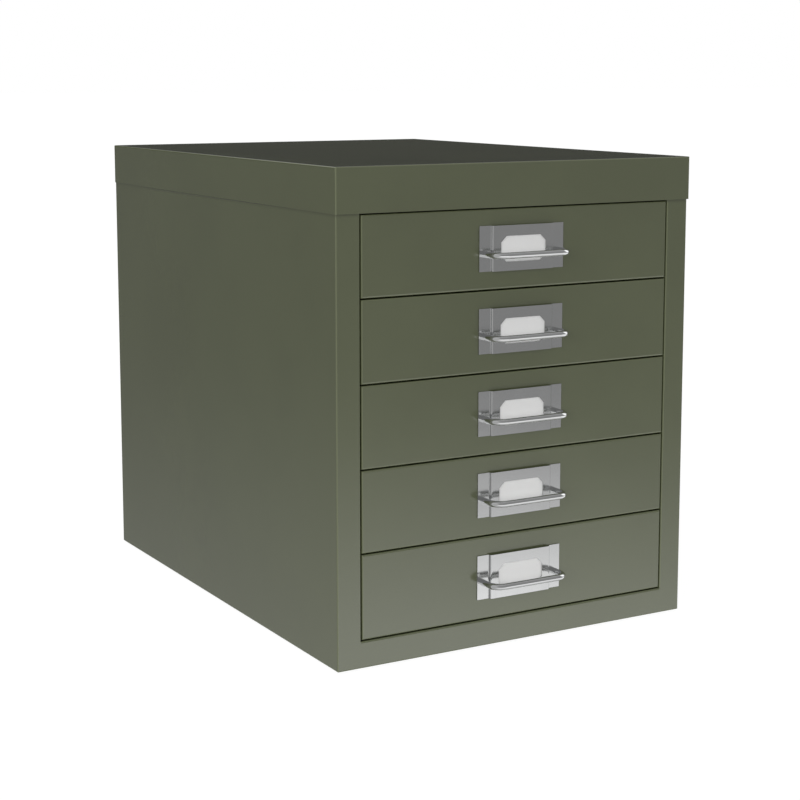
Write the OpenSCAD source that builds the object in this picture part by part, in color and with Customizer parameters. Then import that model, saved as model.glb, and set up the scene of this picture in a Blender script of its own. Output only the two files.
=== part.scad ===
// Desktop cabinet of five shallow drawers, folded from painted sheet steel.
// Units are millimetres. +Z is up, the drawers open towards -Y, and the origin is on the
// surface that the cabinet stands on, under the middle of its overall length and width.

/* [Carcass] */
// Width across the two side panels
body_w = 277; // [250:1:420]
// Depth from the face of the stiles to the back panel
body_d = 377; // [300:1:480]
// Height from the lower edge of the side panels to the top of the cap
body_h = 325; // [300:1:420]
// Sheet thickness of the carcass and the drawers
sheet = 0.7; // [0.6:0.05:1]
// Outside radius of every fold
fold_r = 1.1; // [1.1:0.1:1.6]
// Width of the stiles beside the drawers
stile_w = 17.2; // [16:0.1:24]
// Depth of the fold that stiffens the edge of each stile
stile_fold = 9; // [5:0.5:11]
// Height of the rail under the lowest drawer
rail_h = 18; // [12:0.5:30]
// Height of the cap's skirt
cap_skirt = 29.6; // [20:0.2:40]
// Width of the folded returns that stiffen the panels
return_w = 12; // [8:0.5:15]

/* [Feet] */
// Height of the foot pads
foot_h = 1.5; // [1:0.1:4]
// Diameter of the foot pads
foot_d = 12; // [8:0.5:14]
// Distance of the pads' centres from the front and back of the side panels
foot_inset = 24; // [14:1:60]

/* [Drawer fronts] */
// Gap all round each drawer front
front_gap = 0.9; // [0.7:0.1:2]
// Depth of the front's folded edges
front_fold = 12; // [8:0.5:16]
// How much further down the lowest front reaches than its tier
low_extra = 2.25; // [0:0.05:6]
// How far the highest front stops short of the top of its tier
high_trim = 1.25; // [0:0.05:3]

/* [Trays] */
// Space between the back of a tray and the back panel
back_space = 18.6; // [16:0.1:60]
// Height of the tray's floor above the bottom of its tier
tray_lift = 3; // [2.2:0.1:8]
// Height left free above the tray, up to the top of its tier
tray_head = 8.1; // [7.6:0.1:14]
// Width of the flange that a tray hangs by
hanger_w = 8.5; // [6:0.5:12]
// How far the stop ear stands above its flange
ear_h = 3.5; // [2.6:0.1:4]

/* [Runners] */
// Distance from the fronts' folds to the front ends of the runners
runner_set = 2; // [1:0.5:10]
// Clear height inside a runner
runner_h = 6; // [5.4:0.1:6.4]
// Running clearance under the hanger flange
run_gap = 0.3; // [0.2:0.05:0.5]
// Sideways clearance between a runner's lips and the tray
side_gap = 0.8; // [0.4:0.1:1.2]
// Length from the stiles' face to the stop that holds an open drawer
hold_in = 76.7; // [40:0.1:120]
// Gap that is left at either stop
stop_gap = 0.3; // [0.2:0.05:0.6]

/* [Handles] */
// Distance between the pull's two legs
wire_span = 57.4; // [50:0.1:100]
// Width of the label plate beyond the middle of each leg
plate_edge = 4.45; // [3.5:0.05:10]
// Height of the label plate
plate_h = 30.1; // [26:0.1:38]
// Thickness of the label plate
plate_t = 0.8; // [0.6:0.05:1.2]
// Width of each flat margin, to the middle of the step
margin_w = 9.4; // [8:0.1:12]
// How far the middle of the plate stands off the drawer front
plate_raise = 2.2; // [1.8:0.1:3]
// How far the plate's centre lies above the middle of its front
plate_rise = 0.65; // [-3:0.05:3]
// Width of the label window
window_w = 35.2; // [24:0.1:40]
// Height of the label window
window_h = 17; // [10:0.1:20]
// Size of the window's cut corners
window_cut = 4.1; // [1:0.1:5]
// How far the window's centre lies below the plate's
window_drop = 0.5; // [0:0.05:2]
// Thickness of the label card
card_t = 0.5; // [0.3:0.05:0.9]
// How far the card stays inside the plate's upper and lower edges
card_inset = 1; // [0.5:0.1:4]
// Clearance between the card and the steps of the plate
card_gap = 0.4; // [0.2:0.1:1]
// Diameter of the pull's wire
wire_d = 4.3; // [3.6:0.1:5]
// Reach of the wire's centreline in front of the drawer
wire_reach = 16; // [13:0.1:26]
// Bend radius of the wire's centreline
wire_bend = 7.5; // [5:0.1:9]
// How far the pull lies below the middle of the plate
wire_drop = 3.5; // [0:0.1:7]
// Diameter of the turned end of each leg, inside the plate and the drawer
tenon_d = 3.2; // [2.4:0.1:3.4]
// Clearance round the turned ends
tenon_gap = 0.1; // [0.05:0.01:0.2]
// Diameter of the washers inside the drawer
washer_d = 8; // [6.5:0.1:10]
// Thickness of those washers
washer_t = 0.8; // [0.5:0.1:1.2]
// Diameter of the peened heads
head_d = 5; // [4:0.1:6]
// Height of the peened heads
head_h = 1; // [0.6:0.1:1.4]

/* [Hidden] */
$fn = 64;
drawers = 5;
paint = "#5d5f50";
chrome = "#b9babb";
zinc = "#8f9193";
eps = 1; // overrun of a cut past the face that it opens

drawer_pieces = ["tray", "front", "label_plate", "label_card", "wire_pull", "pull_washers"];
tier_list = [for (n = [1:drawers]) n];

// Carcass
half_w = body_w / 2;
inner_w = half_w - sheet; // inner face of a side panel
panel_top = body_h - sheet; // the panels end under the cap's plate
skirt_z = body_h - cap_skirt; // lower edge of the cap's skirt
opening_w = half_w - stile_w; // half the width of the drawer opening
wire_out = wire_reach + wire_d / 2; // how far the pulls stand out in front
back_y = body_d + sheet; // back face of the cap's skirt
face_y = (wire_out - back_y) / 2; // the stiles' face in the part's own frame

// Tiers, counted down from the top: tier 1 holds the highest drawer
low_line = rail_h + front_gap / 2 + low_extra;
high_line = skirt_z - front_gap / 2 + high_trim;
pitch = (high_line - low_line) / drawers;
function tier_z(n) = low_line + (drawers - n) * pitch;
function front_low(n) = n == drawers ? rail_h + front_gap : tier_z(n) + front_gap / 2;
function front_high(n) = n == 1 ? skirt_z - front_gap : tier_z(n) + pitch - front_gap / 2;
function plate_z(n) = (front_low(n) + front_high(n)) / 2 + plate_rise;
front_w = opening_w - front_gap; // half the width of a front

// Trays and runners
flange_w = front_w; // edge of the hanger flange, level with the front's edge
tray_w = flange_w - hanger_w; // outer face of a tray's wall
tray_back = body_d - sheet - back_space;
tray_len = tray_back - sheet;
hanger_y = front_fold + stop_gap; // the flanges start behind the front's own folds
runner_y = front_fold + runner_set; // front end of the runners
lip_x = tray_w + side_gap; // edge of the runners' lips
stop_x = lip_x + sheet; // the stops keep clear of the tray's wall by their own gap
function hang_z(n) = tier_z(n) + pitch - tray_head - sheet; // lower face of the hanger flange
function groove_z(n) = hang_z(n) - run_gap; // upper face of the runner's lower lip
// An open drawer has come out by tray_back - sheet - stop_gap - hold_in.

// Handles
plate_w = wire_span + 2 * plate_edge;
step_r = plate_raise / 2; // centreline radius of the two bends that make a step
raised_w = plate_w / 2 - margin_w; // middle of the step, from the centreline
card_w = raised_w - step_r - card_gap;

// A rectangle with its corners rounded one by one, from the lower left and anticlockwise.
module soft_rect(size, radii) {
    flips = [[0, 0], [1, 0], [1, 1], [0, 1]];
    difference() {
        square(size);
        for (i = [0:3])
            if (radii[i] > 0)
                translate([flips[i][0] * size[0], flips[i][1] * size[1]])
                    mirror([flips[i][0], 0])
                        mirror([0, flips[i][1]])
                            difference() {
                                translate([-eps, -eps]) square(radii[i] + eps);
                                translate([radii[i], radii[i]]) circle(radii[i]);
                            }
    }
}

// A block whose four lower edges are rounded, as the outside or the inside of a folded pan.
module pan_block(size, r) {
    intersection() {
        translate([0, size[1], 0])
            rotate([90, 0, 0])
                linear_extrude(size[1])
                    soft_rect([size[0], size[2]], [r, r, 0, 0]);
        rotate([90, 0, 90])
            linear_extrude(size[0])
                soft_rect([size[1], size[2]], [r, r, 0, 0]);
    }
}

// A pan folded up on four sides, centred on X and open upwards.
module pan(size, r = fold_r) {
    translate([-size[0] / 2, 0, 0])
        difference() {
            pan_block(size, r);
            translate([sheet, sheet, sheet])
                pan_block([size[0] - 2 * sheet, size[1] - 2 * sheet, size[2] - sheet + eps], r - sheet);
        }
}

// A pan open downwards, with its plate on top at height z.
module lid_pan(size, z) {
    translate([0, 0, z]) mirror([0, 0, 1]) pan(size);
}

// A folded channel along X, centred on it: its web stands at the front and its two legs run
// back from there, and each leg has its own length.
module channel_x(length, height, low_leg, high_leg) {
    rotate([90, 0, 90])
        translate([0, 0, -length / 2])
            linear_extrude(length)
                difference() {
                    soft_rect([max(low_leg, high_leg), height], [fold_r, 0, 0, fold_r]);
                    translate([sheet, sheet])
                        soft_rect([max(low_leg, high_leg), height - 2 * sheet],
                                  [fold_r - sheet, 0, 0, fold_r - sheet]);
                    translate([low_leg, -eps]) square([body_d, height / 2 + eps]);
                    translate([high_leg, height / 2]) square([body_d, height]);
                }
}

// Everything is drawn from the middle of the stiles' face, level with the panels' lower edge.
module place() {
    translate([0, face_y, foot_h]) children();
}

module mirrored(side) {
    mirror([side < 0 ? 1 : 0, 0, 0]) children();
}

module top_cap() {
    depth = body_d + 3 * sheet; // the top rail adds one sheet in front
    color(paint)
        place()
            translate([0, -2 * sheet, 0])
                intersection() {
                    lid_pan([body_w + 2 * sheet, depth, cap_skirt], body_h);
                    translate([-half_w - sheet, 0, skirt_z - eps]) // the welded corners are dressed round
                        linear_extrude(cap_skirt + 2 * eps)
                            soft_rect([body_w + 2 * sheet, depth], [for (i = [0:3]) fold_r]);
                }
}

// A block folded along the front and lower edges of its outer side, which lies at the largest X.
module side_block(size, r) {
    intersection() {
        linear_extrude(size[2]) soft_rect([size[0], size[1]], [0, r, 0, 0]);
        translate([0, size[1], 0])
            rotate([90, 0, 0]) linear_extrude(size[1]) soft_rect([size[0], size[2]], [0, r, r, 0]);
        rotate([90, 0, 90]) linear_extrude(size[0]) soft_rect([size[1], size[2]], [r, 0, 0, 0]);
    }
}

module side_panel(side) {
    fold_h = panel_top - sheet - rail_h;
    color(paint)
        place()
            mirrored(side) {
                difference() {
                    translate([opening_w, 0, 0]) side_block([stile_w, body_d, panel_top], fold_r);
                    translate([opening_w - eps, sheet, sheet]) // open towards the drawers and at the back
                        side_block([stile_w + eps - sheet, body_d, panel_top - 2 * sheet], fold_r - sheet);
                    translate([opening_w - eps, -eps, rail_h]) // the stile's own fold takes over here
                        cube([eps + 2 * fold_r, sheet + 2 * eps, fold_h]);
                }
                translate([opening_w, 0, rail_h])
                    linear_extrude(fold_h)
                        difference() {
                            soft_rect([2 * fold_r, stile_fold], [fold_r, 0, 0, 0]);
                            translate([sheet, sheet])
                                soft_rect([2 * fold_r, stile_fold], [fold_r - sheet, 0, 0, 0]);
                        }
            }
}

module back_panel() {
    height = panel_top - sheet - rail_h;
    color(paint)
        place()
            translate([0, body_d, rail_h])
                rotate([90, 0, 0])
                    pan([2 * inner_w, height, return_w]);
}

module base_pan() {
    side_fold = return_w / 2 + sheet;
    color(paint)
        place() {
            channel_x(2 * opening_w, rail_h, return_w, return_w); // the front rail, between the stiles
            translate([0, body_d, 0])
                mirror([0, 1, 0])
                    difference() { // the rear rail, whose lower return ends at those of the sides
                        channel_x(2 * inner_w, rail_h, return_w, return_w);
                        for (side = [-1, 1])
                            mirrored(side)
                                translate([opening_w, -eps, -eps]) cube([stile_w, body_d, eps + sheet]);
                    }
            difference() { // the floor, and the folds that weld it to the side panels
                translate([0, sheet, 0]) lid_pan([2 * inner_w, body_d - sheet, side_fold], rail_h);
                translate([-inner_w - eps, 0, -eps])
                    cube([2 * (inner_w + eps), return_w / 2, rail_h - sheet + eps]);
                translate([-inner_w - eps, body_d - return_w / 2, -eps])
                    cube([2 * (inner_w + eps), return_w, rail_h + 2 * eps]);
            }
        }
}

module top_rail() {
    height = panel_top - skirt_z;
    color(paint)
        place()
            translate([0, -sheet, skirt_z]) {
                channel_x(2 * opening_w, height, return_w, return_w);
                for (side = [-1, 1]) // the ears that lie on the stiles
                    mirrored(side) translate([opening_w - fold_r, 0, fold_r])
                        cube([stile_w + fold_r, sheet, height - 2 * fold_r]);
            }
}

module foot_pads() {
    color("#2a2b2a")
        place()
            for (side = [-1, 1], y = [foot_inset, body_d - foot_inset])
                translate([side * (opening_w + stile_w / 2), y, -foot_h])
                    cylinder(d1 = foot_d - foot_h, d2 = foot_d, h = foot_h);
}

// A C channel with its open side towards the tray, and the two stops bent across its groove.
module runner(n, side) {
    depth = inner_w - lip_x;
    length = tray_back + stop_gap + sheet - runner_y;
    height = runner_h + 2 * sheet;
    tab_low = hang_z(n) + 2 * sheet + run_gap; // clears the flange, but not its ear
    tab_high = groove_z(n) + runner_h;
    color(paint)
        place()
            mirrored(side) {
                translate([lip_x, runner_y + length, groove_z(n) - sheet])
                    rotate([90, 0, 0])
                        linear_extrude(length)
                            difference() {
                                soft_rect([depth, height], [0, fold_r, fold_r, 0]);
                                translate([-eps, sheet])
                                    soft_rect([depth - sheet + eps, runner_h],
                                              [0, fold_r - sheet, fold_r - sheet, 0]);
                            }
                translate([stop_x, hold_in - sheet, tab_low]) // the open stop
                    cube([flange_w - stop_x, sheet, tab_high - tab_low]);
                translate([stop_x, tray_back + stop_gap, groove_z(n)]) // the shut stop
                    cube([flange_w - stop_x, sheet, runner_h]);
            }
}

module tray(n) {
    floor_z = tier_z(n) + tray_lift;
    rim_z = hang_z(n) + sheet;
    fold_z = rim_z - 2 * fold_r; // the walls turn outwards above this
    color(paint)
        place() {
            difference() {
                translate([0, sheet, floor_z]) pan([2 * tray_w, tray_len, rim_z - floor_z]);
                for (side = [-1, 1])
                    mirrored(side)
                        translate([tray_w - sheet, hanger_y, fold_z])
                            cube([sheet + eps, tray_len, 2 * fold_r + eps]);
                for (side = [-1, 1]) // the pull's turned ends pass through the front wall
                    translate([side * wire_span / 2, -eps, plate_z(n) - wire_drop])
                        rotate([-90, 0, 0])
                            cylinder(d = tenon_d + 2 * tenon_gap, h = 2 * sheet + 2 * eps);
            }
            for (side = [-1, 1])
                mirrored(side) {
                    translate([tray_w - sheet, tray_back, fold_z]) // the hanger
                        rotate([90, 0, 0])
                            linear_extrude(tray_back - hanger_y)
                                difference() {
                                    soft_rect([hanger_w + sheet, 2 * fold_r], [0, 0, 0, fold_r]);
                                    translate([sheet, -eps])
                                        soft_rect([hanger_w + eps, 2 * fold_r - sheet + eps],
                                                  [0, 0, 0, fold_r - sheet]);
                                }
                    translate([stop_x + side_gap, tray_back - sheet, hang_z(n)]) // the stop ear
                        cube([flange_w - stop_x - side_gap, sheet, sheet + ear_h]);
                }
        }
}

module front(n) {
    height = front_high(n) - front_low(n);
    color(paint)
        place()
            difference() {
                translate([0, 0, front_high(n)]) rotate([-90, 0, 0]) pan([2 * front_w, height, front_fold]);
                for (side = [-1, 1])
                    translate([side * wire_span / 2, -eps, plate_z(n) - wire_drop])
                        rotate([-90, 0, 0])
                            cylinder(d = tenon_d + 2 * tenon_gap, h = sheet + 2 * eps);
            }
}

// A quarter of a ring about the origin, in the first quadrant.
module quarter_ring(r, t) {
    intersection() {
        difference() {
            circle(r + t / 2);
            circle(r - t / 2);
        }
        square(r + t);
    }
}

// The plate's section: two margins flat on the drawer, and a middle that stands off it.
module plate_section() {
    for (side = [-1, 1])
        mirror([side < 0 ? 1 : 0, 0]) {
            translate([raised_w + step_r, 0]) square([margin_w - step_r, plate_t]);
            translate([raised_w + step_r, step_r + plate_t / 2]) // the bend out of the margin
                rotate(180) quarter_ring(step_r, plate_t);
            translate([raised_w - step_r, step_r + plate_t / 2]) // the bend into the middle
                quarter_ring(step_r, plate_t);
        }
    translate([step_r - raised_w, plate_raise]) square([2 * (raised_w - step_r), plate_t]);
}

module window_outline() {
    w = window_w / 2;
    h = window_h / 2;
    polygon([for (corner = [[-1, -1], [1, -1], [1, 1], [-1, 1]], end = [0, 1])
        (corner[0] * corner[1] > 0) == (end == 0)
            ? [corner[0] * w, corner[1] * (h - window_cut)]
            : [corner[0] * (w - window_cut), corner[1] * h]]);
}

module label_plate(n) {
    color(chrome)
        place()
            translate([0, 0, plate_z(n)])
                difference() {
                    translate([0, 0, -plate_h / 2])
                        linear_extrude(plate_h) mirror([0, 1]) plate_section();
                    translate([0, 0, -window_drop])
                        rotate([90, 0, 0]) linear_extrude(plate_raise + plate_t + eps) window_outline();
                    for (side = [-1, 1])
                        translate([side * wire_span / 2, -plate_t - eps, -wire_drop])
                            rotate([-90, 0, 0])
                                cylinder(d = tenon_d + 2 * tenon_gap, h = plate_t + 2 * eps);
                }
}

module label_card(n) {
    height = plate_h - 2 * card_inset;
    color("#d8d8d4")
        place()
            translate([-card_w, -plate_raise, plate_z(n) - height / 2])
                cube([2 * card_w, card_t, height]);
}

// Both legs have a shoulder on the plate, a turned end through it and the drawer, and a peened head.
module wire_pull(n) {
    bar = wire_span - 2 * wire_bend;
    leg = wire_reach - wire_bend - plate_t;
    tenon = plate_t + 2 * sheet + washer_t;
    color(chrome)
        place()
            translate([0, -plate_t, plate_z(n) - wire_drop]) {
                for (side = [-1, 1])
                    mirrored(side) {
                        translate([wire_span / 2, 0, 0]) rotate([90, 0, 0]) cylinder(d = wire_d, h = leg);
                        translate([wire_span / 2 - wire_bend, -leg, 0])
                            rotate([0, 0, -90])
                                rotate_extrude(angle = 90) translate([wire_bend, 0]) circle(d = wire_d);
                        translate([wire_span / 2, 0, 0]) rotate([-90, 0, 0]) cylinder(d = tenon_d, h = tenon);
                        translate([wire_span / 2, tenon, 0])
                            rotate([-90, 0, 0]) cylinder(d1 = head_d, d2 = head_d - head_h, h = head_h);
                    }
                translate([-bar / 2, plate_t - wire_reach, 0]) rotate([0, 90, 0]) cylinder(d = wire_d, h = bar);
            }
}

module pull_washers(n) {
    color(zinc)
        place()
            for (side = [-1, 1])
                translate([side * wire_span / 2, 2 * sheet, plate_z(n) - wire_drop])
                    rotate([-90, 0, 0])
                        difference() {
                            cylinder(d = washer_d, h = washer_t);
                            translate([0, 0, -eps])
                                cylinder(d = tenon_d + 2 * tenon_gap, h = washer_t + 2 * eps);
                        }
}

top_cap();
side_panel(-1);  // side_panel_left
side_panel(1);  // side_panel_right
back_panel();
base_pan();
top_rail();
foot_pads();
for (n = tier_list) {
    runner(n, -1);
    runner(n, 1);
    tray(n);
    front(n);
    label_plate(n);
    label_card(n);
    wire_pull(n);
    pull_washers(n);
}
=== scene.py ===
import math

import bpy
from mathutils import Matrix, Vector

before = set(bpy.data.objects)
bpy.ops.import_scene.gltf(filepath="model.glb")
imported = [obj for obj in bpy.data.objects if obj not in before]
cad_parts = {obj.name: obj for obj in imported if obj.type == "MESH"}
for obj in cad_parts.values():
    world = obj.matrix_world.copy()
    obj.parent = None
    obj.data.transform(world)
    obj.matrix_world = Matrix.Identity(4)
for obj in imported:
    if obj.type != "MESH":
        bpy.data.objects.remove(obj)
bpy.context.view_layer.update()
scene = bpy.context.scene
scene.view_settings.view_transform = "Standard"


# a Value is one shader socket, and arithmetic on it adds Math nodes
class Value:
    def __init__(self, finish, socket):
        self.finish, self.socket = finish, socket

    def join(self, operation, first, second):
        return self.finish.node("Math", {"operation": operation}, {0: first, 1: second}).out("Value")

    def __add__(self, other):
        return self.join("ADD", self, other)

    def __radd__(self, other):
        return self.join("ADD", other, self)

    def __sub__(self, other):
        return self.join("SUBTRACT", self, other)

    def __rsub__(self, other):
        return self.join("SUBTRACT", other, self)

    def __mul__(self, other):
        return self.join("MULTIPLY", self, other)

    def __rmul__(self, other):
        return self.join("MULTIPLY", other, self)


class Made:
    def __init__(self, finish, shaderNode):
        self.finish, self.shaderNode = finish, shaderNode

    def out(self, name):
        return Value(self.finish, self.shaderNode.outputs[name])


class Finish:
    def __init__(self, name, world=None):
        self.data = world or bpy.data.materials.new(name)
        self.data.use_nodes = True
        self.tree = self.data.node_tree
        self.tree.nodes.clear()

    # kind is the node's type, settings are set first, and sockets hold values or Values to link
    def node(self, kind, settings=None, sockets=None):
        made = self.tree.nodes.new("ShaderNode" + kind)
        for key, setting in (settings or {}).items():
            setattr(made, key, setting)
        for key, value in (sockets or {}).items():
            if isinstance(value, Value):
                self.tree.links.new(value.socket, made.inputs[key])
            else:
                made.inputs[key].default_value = value
        return Made(self, made)

    def place(self):
        return self.node("TexCoord").out("Object")

    def noise(self, place, size, detail=2.0, rough=0.5):
        sockets = {"Vector": place, "Scale": 1 / size, "Detail": detail, "Roughness": rough}
        return self.node("TexNoise", {}, sockets).out("Fac")

    # rises smoothly from 0 to 1 while value goes from low to high
    def step(self, value, low, high):
        sockets = {"Value": value, "From Min": low, "From Max": high}
        return self.node("MapRange", {"interpolation_type": "SMOOTHSTEP"}, sockets).out("Result")

    def blend(self, share, first, second):
        # the Mix node's sockets 0, 6 and 7, and its third output, are those of its colour form
        return self.node("Mix", {"data_type": "RGBA"}, {0: share, 6: first, 7: second}).out(2)

    def bump(self, height, depth):
        sockets = {"Height": height, "Distance": depth, "Strength": 1.0}
        return self.node("Bump", {}, sockets).out("Normal")

    def surface(self, sockets):
        shader = self.node("BsdfPrincipled", {}, sockets).out("BSDF")
        self.node("OutputMaterial", {}, {"Surface": shader})
        return self.data


def rgb(red, green, blue):
    return (red, green, blue, 1.0)


def shade(colour, factor):
    return rgb(colour[0] * factor, colour[1] * factor, colour[2] * factor)


noiseMiddle = 0.5

# stove enamel on the sheet steel
enamel = {
    "colour": rgb(0.0879, 0.0996, 0.0506),
    "innerTone": 0.97,  # the coat inside the cabinet is a little darker
    "drift": 0.03,  # how far the colour drifts over a panel
    "cloud": 0.09,  # size of that drift
    "cloudFrom": 0.4,
    "cloudTo": 0.72,
    "roughness": 0.155,
    "cloudRoughness": 0.06,
    "fleck": 0.0004,  # size of the fine flecks in the coat
    "fleckShare": 0.12,
    "fleckRoughness": 0.04,
    "fleckHeight": 0.2,  # against the orange peel's height
    "peel": 0.0016,  # size of the orange peel's cells
    "peelGrain": 0.4,
    "peelDepth": 0.000012,
    "specular": 1.0,
    "index": 1.513,
    "foldHighlightTone": 1.38,  # painted highlight: the folds are painted lighter by this factor, for the light that their rounding catches
    "edgeFrom": 0.995,  # the largest part of the normal where a fold begins
    "edgeTo": 0.86,
    "capShadowTop": 0.2969,  # height of the cap's lower edge; just below it the panels are painted darker, a painted shadow of the cap's skirt
    "capShadowFade": 0.0028,
    "capShadowTone": 0.8,
}


# picks out the folds, where the normal leans away from every axis; the enamel gets a painted highlight
# there
def foldHighlightMask(finish):
    facing = finish.node("TexCoord").out("Normal")
    size = finish.node("VectorMath", {"operation": "ABSOLUTE"}, {0: facing}).out("Vector")
    parts = finish.node("SeparateXYZ", {}, {0: size})
    largest = parts.out("X").join("MAXIMUM", parts.out("X"), parts.out("Y"))
    largest = largest.join("MAXIMUM", largest, parts.out("Z"))
    return 1 - finish.step(largest, enamel["edgeTo"], enamel["edgeFrom"])


# the band just below the cap's skirt, where the panels get a painted shadow
def capShadowMask(finish, place):
    height = finish.node("SeparateXYZ", {}, {0: place}).out("Z")
    return finish.step(height, enamel["capShadowTop"] - enamel["capShadowFade"], enamel["capShadowTop"])


def makeEnamel(name, tone=1.0, withCapShadow=False):
    finish = Finish(name)
    place = finish.place()
    cloud = finish.noise(place, enamel["cloud"], detail=3.0)
    fleck = finish.noise(place, enamel["fleck"], detail=1.0)
    peel = finish.noise(place, enamel["peel"], rough=enamel["peelGrain"])
    share = finish.step(cloud + enamel["fleckShare"] * fleck, enamel["cloudFrom"], enamel["cloudTo"])
    darker = shade(enamel["colour"], tone * (1 - enamel["drift"]))
    lighter = shade(enamel["colour"], tone * (1 + enamel["drift"]))
    colour = finish.blend(share, darker, lighter)
    # painted highlight: the folds' colour is lightened, standing in for the light that their rounded edges
    # catch
    colour = finish.blend(foldHighlightMask(finish), colour, shade(enamel["colour"], tone * enamel["foldHighlightTone"]))
    # painted shadow: the panels are darkened just under the cap's skirt
    if withCapShadow:
        capShadowColour = shade(enamel["colour"], enamel["capShadowTone"])
        colour = finish.blend(capShadowMask(finish, place), colour, capShadowColour)
    roughness = enamel["roughness"] + enamel["cloudRoughness"] * (cloud - noiseMiddle)
    roughness = roughness + enamel["fleckRoughness"] * (fleck - noiseMiddle)
    return finish.surface({
        "Base Color": colour,
        "Roughness": roughness,
        "Specular IOR Level": enamel["specular"],
        "IOR": enamel["index"],
        "Normal": finish.bump(peel + enamel["fleckHeight"] * fleck, enamel["peelDepth"]),
    })


# bright plating on the label plates and pulls
plating = {
    "colour": rgb(0.555, 0.56, 0.56),
    "roughness": 0.12,
    "wireLitTone": 1.12,  # the drawn wire is smoother than the pressed plate; its plating is painted lighter by this factor, a lit copy that stands in for the brighter reflections it shows
    "wireRoughness": 0.05,
    "dull": 0.012,  # size of the patches where the polish is dull
    "dullFrom": 0.45,
    "dullTo": 0.75,
    "dullTone": 0.97,
    "haze": 0.05,  # rise of roughness in those patches
    "wave": 0.004,  # size of the soft waves that polishing leaves
    "waveDepth": 0.000003,
    "line": 0.00025,  # width of the polishing lines
    "lineStretch": (0.06, 1.0, 1.0),  # they run across the cabinet
    "lineHeight": 0.1,  # against the waves' height
}


def makePlating(name, polish, tone=1.0):
    finish = Finish(name)
    place = finish.place()
    along = finish.node("Mapping", {}, {"Vector": place, "Scale": plating["lineStretch"]}).out("Vector")
    lines = finish.noise(along, plating["line"])
    wave = finish.noise(place, plating["wave"], detail=1.0)
    patches = finish.noise(place, plating["dull"], detail=3.0)
    dull = finish.step(patches, plating["dullFrom"], plating["dullTo"])
    bright = shade(plating["colour"], tone)
    return finish.surface({
        "Base Color": finish.blend(dull, bright, shade(bright, plating["dullTone"])),
        "Metallic": 1.0,
        "Roughness": polish + plating["haze"] * dull * lines,
        "Normal": finish.bump(wave + plating["lineHeight"] * lines, plating["waveDepth"]),
    })


# zinc on the washers
zinc = {
    "dark": rgb(0.36, 0.37, 0.38),
    "light": rgb(0.5, 0.51, 0.52),
    "spangle": 0.0012,  # size of the crystals
    "roughness": 0.3,
    "spangleRoughness": 0.2,
    "depth": 0.00001,
}


def makeZinc():
    finish = Finish("zincPlating")
    spangle = finish.noise(finish.place(), zinc["spangle"])
    return finish.surface({
        "Base Color": finish.blend(spangle, zinc["dark"], zinc["light"]),
        "Metallic": 1.0,
        "Roughness": zinc["roughness"] + zinc["spangleRoughness"] * spangle,
        "Normal": finish.bump(spangle, zinc["depth"]),
    })


# blank label card
card = {
    "dark": rgb(0.775, 0.775, 0.77),
    "light": rgb(0.825, 0.825, 0.82),
    "fibre": 0.0003,
    "fibreGrain": 0.7,
    "cloud": 0.006,
    "roughness": 0.75,
    "cloudRoughness": 0.15,
    "depth": 0.000012,
}


def makeCard():
    finish = Finish("labelCard")
    place = finish.place()
    fibre = finish.noise(place, card["fibre"], detail=3.0, rough=card["fibreGrain"])
    cloud = finish.noise(place, card["cloud"])
    return finish.surface({
        "Base Color": finish.blend(fibre, card["dark"], card["light"]),
        "Roughness": card["roughness"] + card["cloudRoughness"] * cloud,
        "Normal": finish.bump(fibre, card["depth"]),
    })


# rubber of the foot pads
rubber = {
    "dark": rgb(0.018, 0.018, 0.017),
    "light": rgb(0.035, 0.035, 0.033),
    "grain": 0.0005,
    "grainRough": 0.6,
    "roughness": 0.62,
    "grainRoughness": 0.2,
    "depth": 0.00003,
}


def makeRubber():
    finish = Finish("padRubber")
    grain = finish.noise(finish.place(), rubber["grain"], detail=3.0, rough=rubber["grainRough"])
    return finish.surface({
        "Base Color": finish.blend(grain, rubber["dark"], rubber["light"]),
        "Roughness": rubber["roughness"] + rubber["grainRoughness"] * grain,
        "Normal": finish.bump(grain, rubber["depth"]),
    })


outerEnamel = makeEnamel("outerEnamel")
panelEnamel = makeEnamel("panelEnamel", withCapShadow=True)
innerEnamel = makeEnamel("innerEnamel", tone=enamel["innerTone"])
brightPlating = makePlating("brightPlating", plating["roughness"])
# a lighter copy of the plating for the pulls, a painted stand-in for their brighter reflections
wirePlating = makePlating("wirePlating", plating["wireRoughness"], tone=plating["wireLitTone"])
zincPlating = makeZinc()
labelCard = makeCard()
padRubber = makeRubber()
finishOf = {
    "side_panel": panelEnamel,
    "back_panel": panelEnamel,
    "tray": innerEnamel,
    "runner": innerEnamel,
    "label_plate": brightPlating,
    "wire_pull": wirePlating,
    "pull_washers": zincPlating,
    "label_card": labelCard,
    "foot_pads": padRubber,
}
for name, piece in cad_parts.items():
    chosen = [finish for start, finish in finishOf.items() if name.startswith(start)]
    piece.data.materials.clear()
    piece.data.materials.append(chosen[0] if chosen else outerEnamel)
print("finishes set:", len(set(finishOf.values())) + 1)

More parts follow.
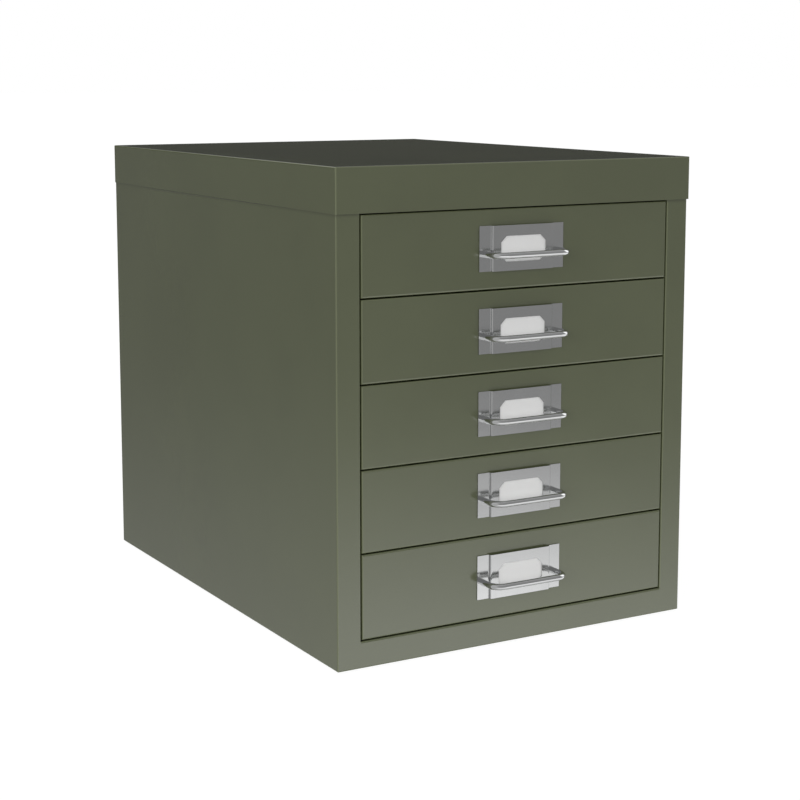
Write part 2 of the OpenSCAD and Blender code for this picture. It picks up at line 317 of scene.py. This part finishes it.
# Floor and air are white to the camera. Mirrored, the air has tones of its own, by the angle in degrees
# above the horizon: in front it turns from grey to white going down, and behind the cabinet it is darker
studio = {
    "floorSize": 60.0,
    "glow": 0.95,  # what the camera sees of the floor in a full shadow
    "floorTone": 0.15,
    "bounce": 0.85,
    "pool": (0.05, -0.35, 0),  # middle of the lit part of the floor
    "poolInner": 0.1,
    "poolOuter": 0.5,
    "poolLight": 0.585,
    "underMiddle": (0.0, 0.009, 0.0),  # the cabinet's own footprint, which is never lit
    "underWide": 0.1392,
    "underDeep": 0.188,
    "underFade": 0.002,
    "airLow": 0.985,  # the light that the air gives, low down and higher up
    "airHigh": 0.412,
    "airFrom": 10.0,
    "airTo": 20.0,
    "front": (0.55, -0.83, 0.0),  # the way that the studio is brightest
    "frontAhead": 0.5,  # the cosines where front and back end
    "backAhead": -0.3,
    "grey": 0.33,  # mirrored in front, from here on further and further down
    "white": 0.91,
    "brightFrom": -10.35,
    "brightTo": -15.8,
    "nearWhite": 1.6,
    "nearFrom": -15.0,
    "nearTo": -18.5,
    "deepWhite": 1.15,
    "deepFrom": -20.0,
    "deepTo": -26.0,
    "steepWhite": 0.7,
    "steepFrom": -37.0,
    "steepTo": -48.0,
    "backGrey": 0.204,  # mirrored behind, from here on further and further up
    "backWhite": 0.556,
    "backBrightFrom": -7.3,
    "backBrightTo": -21.7,
    "backSky": 0.046,  # just above the horizon
    "skyFrom": -2.0,
    "skyTo": 2.0,
    "backOver": 0.8,
    "backOverFrom": 17.0,
    "backOverTo": 27.0,
    "over": 0.45,  # overhead, in front and behind
    "overFrom": 36.0,
    "overTo": 58.0,
    "left": (-0.966, -0.26, 0.0),  # the way to the left panel
    "leftWhite": 0.55,
    "leftInner": 0.9,
    "leftOuter": 0.68,
    "right": (0.93, 0.05, 0.36),  # the way to the right panel
    "rightWhite": 1.6,
    "rightInner": 0.95,
    "rightOuter": 0.86,
}


def slope(degrees):
    return math.sin(math.radians(degrees))


def footprint(finish):
    ends = {0: finish.place(), 1: studio["underMiddle"]}
    apart = finish.node("VectorMath", {"operation": "SUBTRACT"}, ends).out("Vector")
    size = finish.node("VectorMath", {"operation": "ABSOLUTE"}, {0: apart}).out("Vector")
    parts = finish.node("SeparateXYZ", {}, {0: size})
    wide = 1 - finish.step(parts.out("X"), studio["underWide"], studio["underWide"] + studio["underFade"])
    deep = 1 - finish.step(parts.out("Y"), studio["underDeep"], studio["underDeep"] + studio["underFade"])
    return wide * deep


def makeFloorFinish():
    finish = Finish("floorWhite")
    rays = finish.node("LightPath")
    under = footprint(finish)
    seen, mirror = rays.out("Is Camera Ray"), rays.out("Is Glossy Ray")
    ends = {0: finish.place(), 1: studio["pool"]}
    away = finish.node("VectorMath", {"operation": "DISTANCE"}, ends).out("Value")
    pool = (1 - finish.step(away, studio["poolInner"], studio["poolOuter"])) * (1 - under)
    strength = seen * studio["glow"] + (1 - seen) * studio["poolLight"] * pool
    tone = studio["bounce"] + seen * (studio["floorTone"] - studio["bounce"])
    emission = finish.node("Emission", {}, {"Color": rgb(1, 1, 1), "Strength": strength}).out("Emission")
    white = finish.node("CombineColor", {}, {0: tone, 1: tone, 2: tone}).out("Color")
    diffuse = finish.node("BsdfDiffuse", {}, {"Color": white}).out("BSDF")
    lit = finish.node("AddShader", {}, {0: diffuse, 1: emission}).out("Shader")
    clear = finish.node("BsdfTransparent").out("BSDF")
    # mirrored, the floor is the air behind it. It hides the underside neither from below nor from the light
    through = mirror + (1 - seen - mirror - mirror) * under
    through = through.join("MAXIMUM", through, finish.node("NewGeometry").out("Backfacing"))
    both = finish.node("MixShader", {}, {0: through, 1: lit, 2: clear}).out("Shader")
    finish.node("OutputMaterial", {}, {"Surface": both})
    return finish.data


bpy.ops.object.select_all(action="DESELECT")
bpy.ops.mesh.primitive_plane_add(size=studio["floorSize"], location=(0, 0, 0))
floor = bpy.context.object
floor.name = "studioFloor"
floor.data.materials.append(makeFloorFinish())


# cosine of the angle between a mirrored ray's way and one of the studio's
def towards(air, way, name):
    return air.node("VectorMath", {"operation": "DOT_PRODUCT"}, {0: way, 1: studio[name]}).out("Value")


def mirroredAir(air, way, rise):
    inFront = air.step(towards(air, way, "front"), studio["backAhead"], studio["frontAhead"])
    frontLow = 1 - air.step(rise, slope(studio["brightTo"]), slope(studio["brightFrom"]))
    near = 1 - air.step(rise, slope(studio["nearTo"]), slope(studio["nearFrom"]))
    bright = studio["white"] + (studio["nearWhite"] - studio["white"]) * near
    deep = 1 - air.step(rise, slope(studio["deepTo"]), slope(studio["deepFrom"]))
    bright = bright + (studio["deepWhite"] - bright) * deep
    steep = 1 - air.step(rise, slope(studio["steepTo"]), slope(studio["steepFrom"]))
    bright = bright + (studio["steepWhite"] - bright) * steep
    front = studio["grey"] + (bright - studio["grey"]) * frontLow
    backLow = 1 - air.step(rise, slope(studio["backBrightTo"]), slope(studio["backBrightFrom"]))
    floorPart = studio["backGrey"] + (studio["backWhite"] - studio["backGrey"]) * backLow
    sky = air.step(rise, slope(studio["skyFrom"]), slope(studio["skyTo"]))
    back = floorPart + (studio["backSky"] - floorPart) * sky
    backHigh = air.step(rise, slope(studio["backOverFrom"]), slope(studio["backOverTo"]))
    back = back + (studio["backOver"] - back) * backHigh
    around = back + (front - back) * inFront
    overhead = air.step(rise, slope(studio["overFrom"]), slope(studio["overTo"]))
    around = around + (studio["over"] - around) * overhead
    for side in ("left", "right"):
        panel = air.step(towards(air, way, side), studio[side + "Outer"], studio[side + "Inner"])
        around = around + (studio[side + "White"] - around) * panel
    return around


def makeAir():
    world = bpy.data.worlds.new("studioAir")
    air = Finish("studioAir", world)
    rays = air.node("LightPath")
    seen, mirror = rays.out("Is Camera Ray"), rays.out("Is Glossy Ray")
    way = air.node("TexCoord").out("Generated")
    rise = air.node("SeparateXYZ", {}, {0: way}).out("Z")
    high = air.step(rise, slope(studio["airFrom"]), slope(studio["airTo"]))
    light = studio["airLow"] + (studio["airHigh"] - studio["airLow"]) * high
    strength = seen + mirror * mirroredAir(air, way, rise) + (1 - seen - mirror) * light
    background = air.node("Background", {}, {"Color": rgb(1, 1, 1), "Strength": strength}).out("Background")
    air.node("OutputWorld", {}, {"Surface": background})
    return world


scene.world = makeAir()

# azimuth 0 is in front, positive to the object's right as one looks at it
keyBox = {
    "azimuth": -50,
    "height": 14,
    "distance": 3.2,
    "size": 1.6,
    "light": 0.33,
    "aim": (0.0, 0.0, 0.16),  # the middle of the cabinet
}


def hangKeyBox():
    turn, rise = math.radians(keyBox["azimuth"]), math.radians(keyBox["height"])
    away = Vector((math.sin(turn) * math.cos(rise), -math.cos(turn) * math.cos(rise), math.sin(rise)))
    lamp = bpy.data.lights.new("keyBox", "AREA")
    lamp.shape = "SQUARE"
    lamp.size = keyBox["size"]
    # a square lamp of this power gives its stated light on a surface that faces it
    lamp.energy = keyBox["light"] * math.pi * math.pi * keyBox["distance"] ** 2
    hung = bpy.data.objects.new("keyBox", lamp)
    hung.location = away * keyBox["distance"] + Vector(keyBox["aim"])
    hung.rotation_mode = "QUATERNION"
    hung.rotation_quaternion = away.to_track_quat("Z", "Y")
    hung.visible_camera = False
    hung.visible_glossy = False
    scene.collection.objects.link(hung)


hangKeyBox()
print("stage lit")

view = {
    "place": (-0.6528, -1.1544, 0.3847),
    "turn": -29.90,  # degrees about Z
    "pitch": -7.949,  # degrees above the horizon
    "lens": 80.0,
    "sensor": 36.0,
    "shift": -0.1,
}
cameraData = bpy.data.cameras.new("cabinetCamera")
cameraData.lens = view["lens"]
cameraData.sensor_width = view["sensor"]
cameraData.shift_y = view["shift"]
camera = bpy.data.objects.new("cabinetCamera", cameraData)
camera.location = view["place"]
camera.rotation_euler = (math.radians(90 + view["pitch"]), 0, math.radians(view["turn"]))
scene.collection.objects.link(camera)
scene.camera = camera
